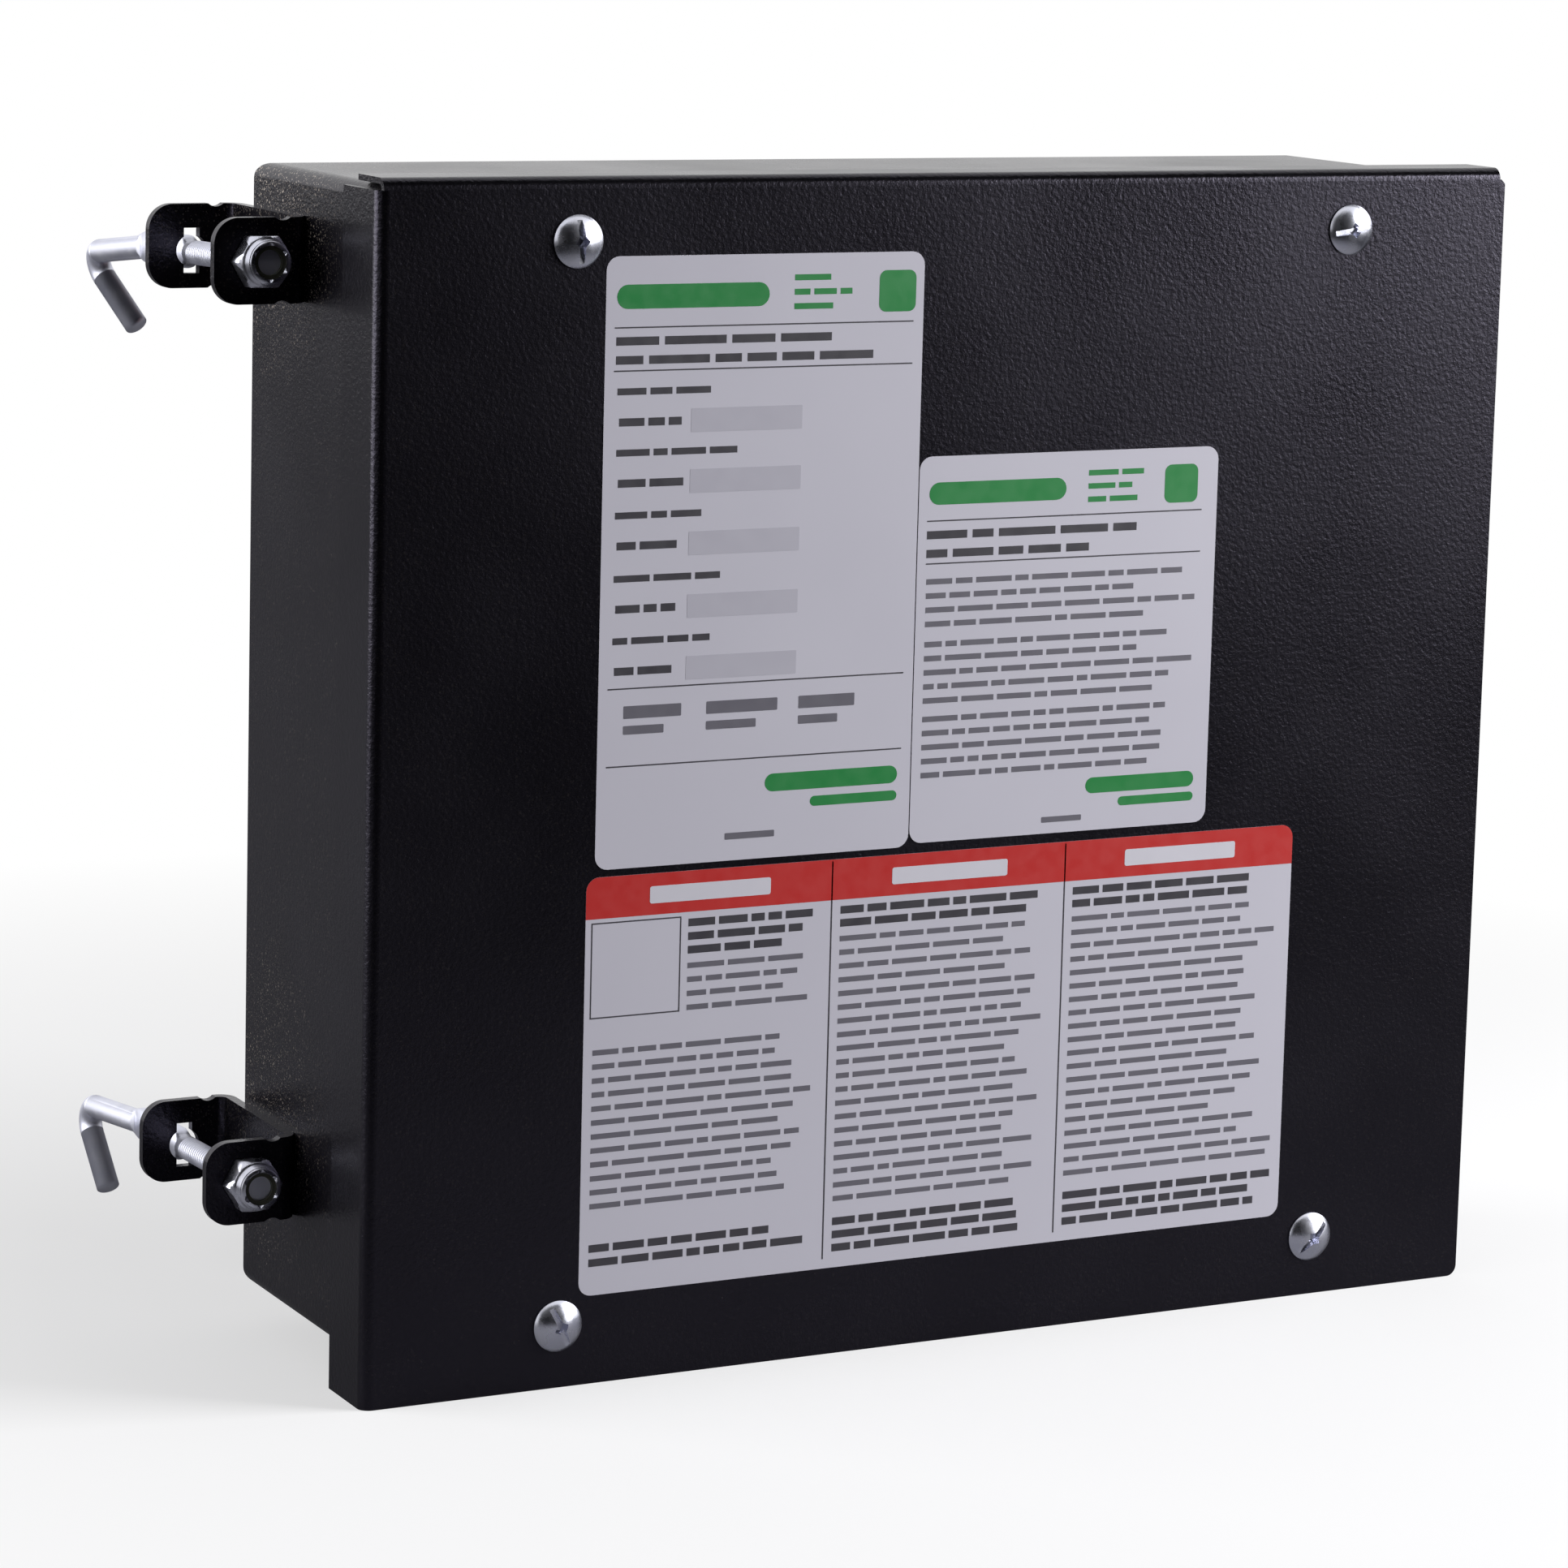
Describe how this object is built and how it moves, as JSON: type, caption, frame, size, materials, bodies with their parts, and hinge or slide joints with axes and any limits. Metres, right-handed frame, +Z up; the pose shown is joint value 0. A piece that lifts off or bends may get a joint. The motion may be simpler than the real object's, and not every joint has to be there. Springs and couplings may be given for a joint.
{
  "type": "busway tap off box",
  "caption": "Sheet-steel plug-in tap off box with a lift-off cover, two hook-bolt clamps on its left wall, spring stab jaws at the rear and wire lugs inside.",
  "frame": {"origin": "centre of the stab plug in the plane of the box's rear face", "axes": "+X to the right for someone facing the cover, +Y out of the rear face towards the busway, +Z up"},
  "size_m": [0.3492, 0.1712, 0.3051],
  "materials": {
    "black_powder_coat": "fine-textured black powder coat",
    "bright_zinc": "bright zinc plating",
    "plain_steel": "plain plated steel",
    "nylon": "dark nylon",
    "spring_steel": "blued spring steel",
    "tinned_copper": "tin-plated copper",
    "red_moulding": "red-brown moulded glass polyester",
    "tinned_aluminium": "tin-plated aluminium, satin",
    "copper": "rolled copper strip"
  },
  "bodies": {
    "enclosure": {"back_box": "black_powder_coat", "cover_weld_nuts": "plain_steel", "knockout_slugs": "black_powder_coat", "upper_clamp_bracket": "black_powder_coat", "lower_clamp_bracket": "black_powder_coat", "stab_base": "red_moulding", "stab_base_screws": "plain_steel", "phase_jaw_a": "tinned_copper", "phase_jaw_b": "tinned_copper", "phase_jaw_c": "tinned_copper", "ground_jaw": "tinned_copper", "jaw_spring_a": "spring_steel", "jaw_spring_b": "spring_steel", "jaw_spring_c": "spring_steel", "ground_jaw_spring": "spring_steel", "phase_strap_a": "copper", "phase_strap_b": "copper", "phase_strap_c": "copper", "strap_screws": "plain_steel", "terminal_base": "red_moulding", "terminal_base_screws": "plain_steel", "wire_lug_a": "tinned_aluminium", "wire_lug_b": "tinned_aluminium", "wire_lug_c": "tinned_aluminium", "lug_tang_screws": "plain_steel", "lug_set_screws": "plain_steel", "ground_strap": "copper", "ground_strap_screw": "plain_steel", "ground_lug": "tinned_aluminium", "ground_lug_screw": "plain_steel", "ground_set_screw": "plain_steel"},
    "cover": {"front_cover": "black_powder_coat", "cover_screws": "bright_zinc"},
    "upper_nut": {"upper_lock_nut": "bright_zinc", "upper_nut_insert": "nylon"},
    "upper_hook": {"upper_hook_bolt": "bright_zinc"},
    "lower_nut": {"lower_lock_nut": "bright_zinc", "lower_nut_insert": "nylon"},
    "lower_hook": {"lower_hook_bolt": "bright_zinc"}
  },
  "joints": [
    {"name": "cover_lift_off", "type": "slide", "parent": "enclosure", "child": "cover", "axis": [0, -1, 0], "range_m": [0, 0.1]},
    {"name": "upper_nut_spin", "type": "hinge", "parent": "enclosure", "child": "upper_nut", "pos_m": [-0.1685, -0.0374, 0.08445], "axis": [0, 0.9994, -0.0349], "range_deg": [-1440, 3600]},
    {"name": "upper_hook_draw", "type": "slide", "parent": "enclosure", "child": "upper_hook", "axis": [0, -0.9994, 0.0349], "range_m": [-0.005, 0.0125]},
    {"name": "lower_nut_spin", "type": "hinge", "parent": "enclosure", "child": "lower_nut", "pos_m": [-0.1685, -0.0374, -0.14905], "axis": [0, 0.9994, -0.0349], "range_deg": [-1440, 3600]},
    {"name": "lower_hook_draw", "type": "slide", "parent": "enclosure", "child": "lower_hook", "axis": [0, -0.9994, 0.0349], "range_m": [-0.005, 0.0125]}
  ],
  "couplings": [
    {"joint": "upper_nut_spin", "follows": "upper_hook_draw", "rad_per_m": 4947.4},
    {"joint": "lower_nut_spin", "follows": "lower_hook_draw", "rad_per_m": 4947.4}
  ]
}
